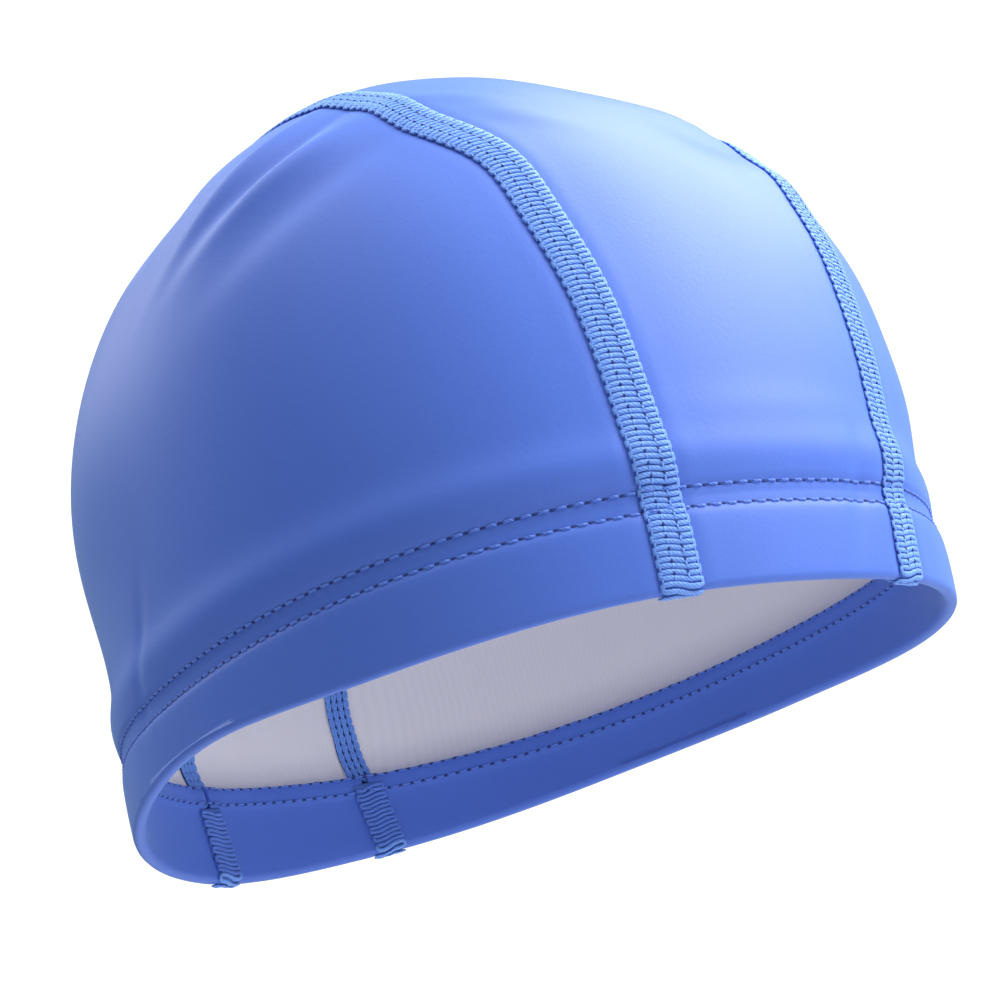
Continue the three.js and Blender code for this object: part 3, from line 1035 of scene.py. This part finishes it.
class SWIM_CAP_OT_hem(bpy.types.Operator):
    """Make the hem's twin rows of stitches, outside and inside"""

    bl_idname = "swim_cap.hem"
    bl_label = "Make Hem Stitches"

    GIRTH_PLACES = 400
    GIRTH_UP = 0.1  # place up the wall where the hem's girth is measured

    def execute(self, context):
        size, sewing = form(), stitches()
        middle = size.hem_height - size.stitch_margin
        around = smooth_point(np.linspace(0, math.tau, self.GIRTH_PLACES), self.GIRTH_UP)
        girth = np.linalg.norm(np.diff(around, axis=0), axis=-1).sum()
        number = int(girth / sewing.hem_pitch)
        finish = [
            thread_material("cap_hem_thread", colours().hem_thread),
            # Painted shadow in the hem's needle holes.
            plain_material("painted_hole_shadow", colours().hole, 0.9),
        ]
        for face, turn in (("outside", 0.0), ("inside", math.pi)):
            shape = Shape()
            for row in (-0.5, 0.5):
                self.row(shape, rim_way(middle, turn), face, number, row * sewing.hem_rows)
            made = shape.make(f"hem_stitches_{face}", finish)
            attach(made, BODY)
        return {"FINISHED"}

    def row(self, shape, way, face, number, across):
        """One row of stitches and the painted shadows in their needle holes."""
        sewing = stitches()
        high, pitch = sewing.needle_high, 1 / number
        starts = np.arange(number) * pitch
        points, normals = stitch_arcs(way, starts, pitch, across, high, -high, HEM_STITCH_LENGTH[face])
        tubes(shape, points, normals, sewing.needle_wide * HEM_STITCH_WIDE[face], high)
        # Dark tubes at the needle holes: painted shadow.
        rise, sink = high * HEM_HOLE_RISE, -high * HEM_HOLE_SINK
        holes = starts - pitch / 2
        points, normals = stitch_arcs(way, holes, pitch, across, rise, sink, HEM_HOLE_LENGTH, 3)
        tubes(shape, points, normals, sewing.hole_wide * HEM_HOLE_WIDE, high * HEM_HOLE_THICK, slot=1)


class SWIM_CAP_OT_stage(bpy.types.Operator):
    """Make the floor, the lights and the camera"""

    bl_idname = "swim_cap.stage"
    bl_label = "Make Stage"

    def execute(self, context):
        stage = context.scene.swim_cap_stage
        aim = Vector(stage.aim)
        self.camera(context, stage, aim)
        for light in LIGHTS:
            self.light(context, light, aim)
        self.world(context, stage)
        bpy.ops.mesh.primitive_plane_add(size=FLOOR_SIZE, location=(0, 0, -stage.floor_drop))
        floor = context.object
        floor.name = "floor"
        floor.data.materials.append(plain_material("studio_floor", colours().floor, 0.7))
        return {"FINISHED"}

    def camera(self, context, stage, aim):
        back = direction(stage.camera_turn, stage.camera_rise)
        turn = math.radians(stage.camera_turn)
        right = Vector((math.cos(turn), math.sin(turn), 0))
        up = back.cross(right)
        roll = math.radians(stage.camera_roll)
        across = right * math.cos(roll) + up * math.sin(roll)
        rise = up * math.cos(roll) - right * math.sin(roll)
        data = bpy.data.cameras.new("camera")
        data.lens = stage.camera_lens
        data.sensor_width = SENSOR
        data.clip_start = NEAREST
        camera = bpy.data.objects.new("camera", data)
        place = Matrix((across, rise, back)).transposed().to_4x4()
        place.translation = aim + back * stage.camera_away
        camera.matrix_world = place
        context.scene.collection.objects.link(camera)
        context.scene.camera = camera

    def light(self, context, light, aim):
        data = bpy.data.lights.new(f"{light['name']}_light", "AREA")
        data.size = LIGHT_SIZE
        data.energy = light["power"]
        lamp = bpy.data.objects.new(data.name, data)
        away = direction(light["turn"], light["rise"])
        lamp.location = aim + away * LIGHT_AWAY
        lamp.rotation_euler = away.to_track_quat("Z", "Y").to_euler()
        context.scene.collection.objects.link(lamp)

    def world(self, context, stage):
        world = bpy.data.worlds.new("studio")
        world.use_nodes = True
        tree = world.node_tree
        sky = tree.nodes["Background"]
        set_values(sky, {"Color": (1, 1, 1, 1), "Strength": stage.sky})
        seen = node(tree, "ShaderNodeBackground", (0, -200))
        set_values(seen, {"Color": (1, 1, 1, 1), "Strength": BACKDROP})
        path = node(tree, "ShaderNodeLightPath", (0, 300))
        mix = node(tree, "ShaderNodeMixShader", (300, 0))
        tree.links.new(path.outputs["Is Camera Ray"], mix.inputs[0])
        tree.links.new(sky.outputs[0], mix.inputs[1])
        tree.links.new(seen.outputs[0], mix.inputs[2])
        tree.links.new(mix.outputs[0], tree.nodes["World Output"].inputs["Surface"])
        context.scene.world = world
        context.scene.view_settings.view_transform = "Standard"


def direction(turn, rise):
    """A unit vector, from degrees from the front towards the right, and degrees above level."""
    turn, rise = math.radians(turn), math.radians(rise)
    return Vector((math.sin(turn) * math.cos(rise), -math.cos(turn) * math.cos(rise), math.sin(rise)))


class SWIM_CAP_PT_sidebar(bpy.types.Panel):
    """Lists the cap's sizes, colours and makers"""

    bl_label = "Swim Cap"
    bl_idname = "SWIM_CAP_PT_sidebar"
    bl_space_type = "VIEW_3D"
    bl_region_type = "UI"
    bl_category = "Swim Cap"

    def draw(self, context):
        for group in GROUPS:
            column = self.layout.column(align=True)
            for name in GROUPS[group].__annotations__:
                column.prop(getattr(context.scene, group), name)
        for operator in OPERATORS:
            self.layout.operator(operator.bl_idname)


GROUPS = {
    "swim_cap_form": SwimCapForm,
    "swim_cap_stitches": SwimCapStitches,
    "swim_cap_colours": SwimCapColours,
    "swim_cap_stage": SwimCapStage,
}
OPERATORS = [SWIM_CAP_OT_stage, SWIM_CAP_OT_panels, SWIM_CAP_OT_seams, SWIM_CAP_OT_hem]


def register():
    for kind in [*GROUPS.values(), *OPERATORS, SWIM_CAP_PT_sidebar]:
        bpy.utils.register_class(kind)
    for name, kind in GROUPS.items():
        setattr(bpy.types.Scene, name, bpy.props.PointerProperty(type=kind))


def unregister():
    for name in GROUPS:
        delattr(bpy.types.Scene, name)
    for kind in reversed([*GROUPS.values(), *OPERATORS, SWIM_CAP_PT_sidebar]):
        bpy.utils.unregister_class(kind)


def main():
    register()
    bpy.ops.swim_cap.stage()
    bpy.ops.swim_cap.panels()
    bpy.ops.swim_cap.seams()
    bpy.ops.swim_cap.hem()


if __name__ == "__main__":
    main()
